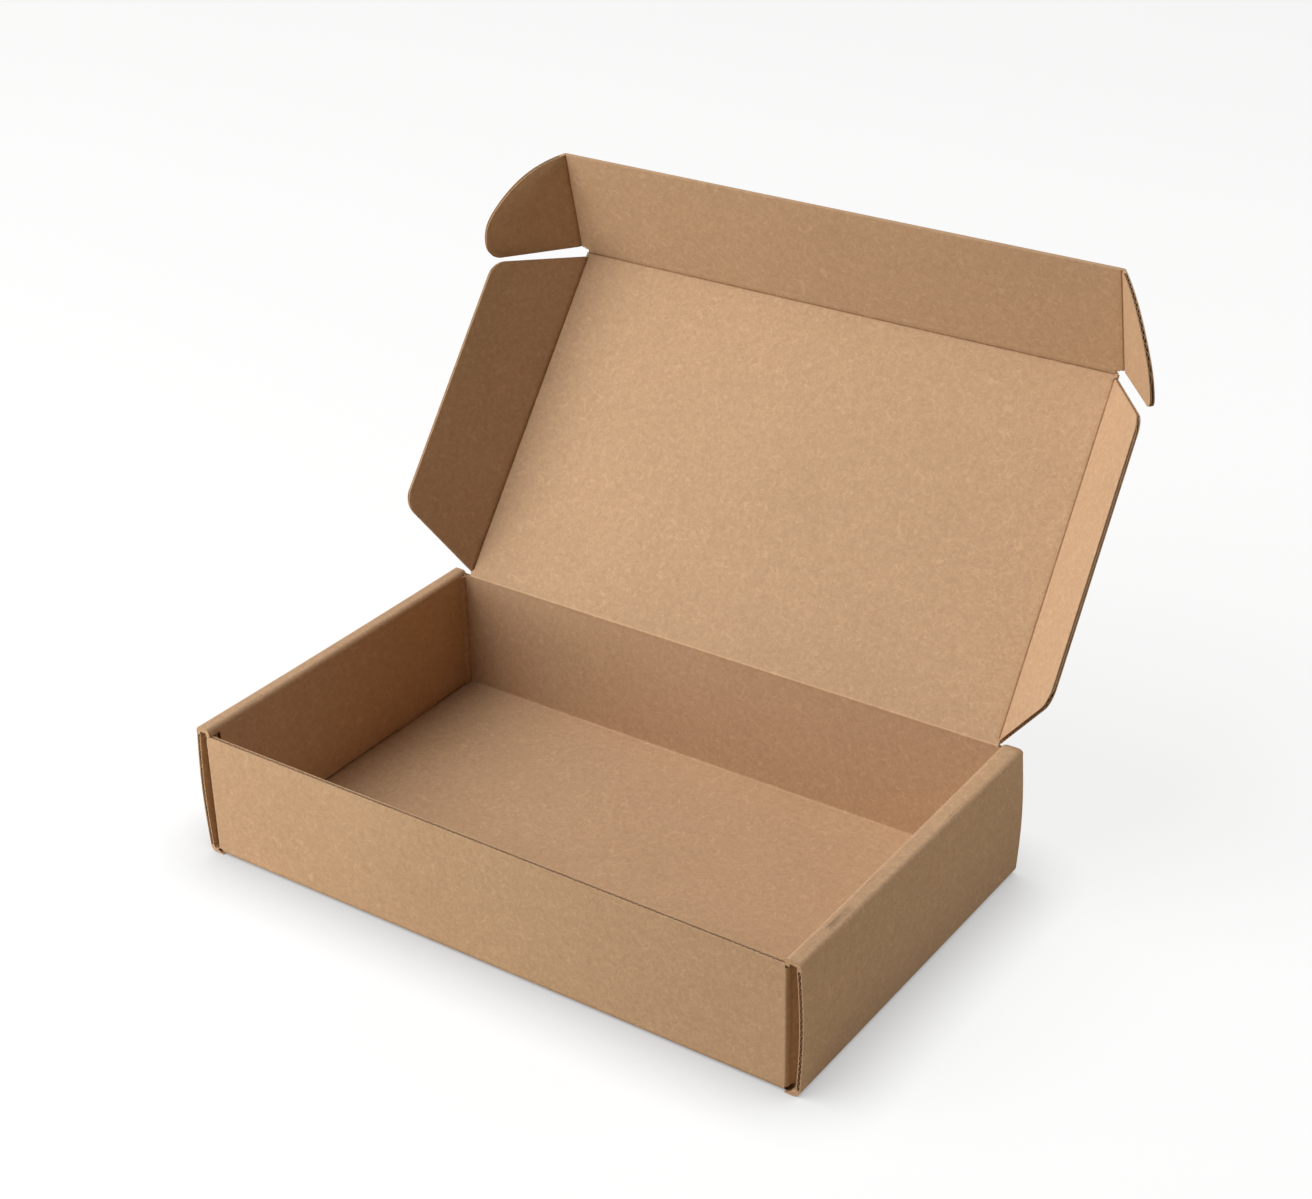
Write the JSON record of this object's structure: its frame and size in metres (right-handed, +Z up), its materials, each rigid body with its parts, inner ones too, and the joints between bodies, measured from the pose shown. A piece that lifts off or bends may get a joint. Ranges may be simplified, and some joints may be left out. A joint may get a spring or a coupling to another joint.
{
  "type": "mailer box",
  "caption": "Open mailer box of kraft corrugated board, with rolled-over side walls and a hinged lid whose front flap, side flaps and ears tuck into the tray.",
  "frame": {"origin": "middle of the base's underside", "axes": "+X along the box to its right side as seen from the front, +Y to the hinge at the back, +Z up"},
  "size_m": [0.2954, 0.2408, 0.2136],
  "materials": {
    "kraft_board": "matt uncoated kraft paper"
  },
  "bodies": {
    "tray": {"tray": "kraft_board"},
    "lid_panel": {"lid_panel": "kraft_board"},
    "front_flap": {"front_flap": "kraft_board"},
    "left_side_flap": {"left_side_flap": "kraft_board"},
    "right_side_flap": {"right_side_flap": "kraft_board"},
    "left_ear": {"left_ear": "kraft_board"},
    "right_ear": {"right_ear": "kraft_board"}
  },
  "joints": [
    {"name": "lid_hinge", "type": "hinge", "parent": "tray", "child": "lid_panel", "pos_m": [0, 0.07615, 0.0532], "axis": [1, 0, 0], "range_deg": [-53, 127]},
    {"name": "front_flap_hinge", "type": "hinge", "parent": "lid_panel", "child": "front_flap", "pos_m": [0, 0.16293, 0.16836], "axis": [1, 0, 0], "range_deg": [-22.1, 52.9]},
    {"name": "left_side_flap_hinge", "type": "hinge", "parent": "lid_panel", "child": "left_side_flap", "pos_m": [-0.123, 0.07615, 0.0532], "axis": [0.0173, 0.6017, 0.7985], "range_deg": [-22.2, 53]},
    {"name": "right_side_flap_hinge", "type": "hinge", "parent": "lid_panel", "child": "right_side_flap", "pos_m": [0.123, 0.07615, 0.0532], "axis": [0.0173, -0.6017, -0.7985], "range_deg": [-31.2, 74.6]},
    {"name": "left_ear_hinge", "type": "hinge", "parent": "front_flap", "child": "left_ear", "pos_m": [-0.124, 0.16293, 0.16836], "axis": [0, -0.2113, 0.9774], "range_deg": [-14, 33.4]},
    {"name": "right_ear_hinge", "type": "hinge", "parent": "front_flap", "child": "right_ear", "pos_m": [0.124, 0.16293, 0.16836], "axis": [0, 0.2113, -0.9774], "range_deg": [-17.9, 42.9]}
  ],
  "couplings": [
    {"joint": "front_flap_hinge", "follows": "lid_hinge", "ratio": 0.41575},
    {"joint": "left_side_flap_hinge", "follows": "lid_hinge", "ratio": 0.41732},
    {"joint": "right_side_flap_hinge", "follows": "lid_hinge", "ratio": 0.5874},
    {"joint": "left_ear_hinge", "follows": "lid_hinge", "ratio": 0.26299},
    {"joint": "right_ear_hinge", "follows": "lid_hinge", "ratio": 0.33701}
  ]
}
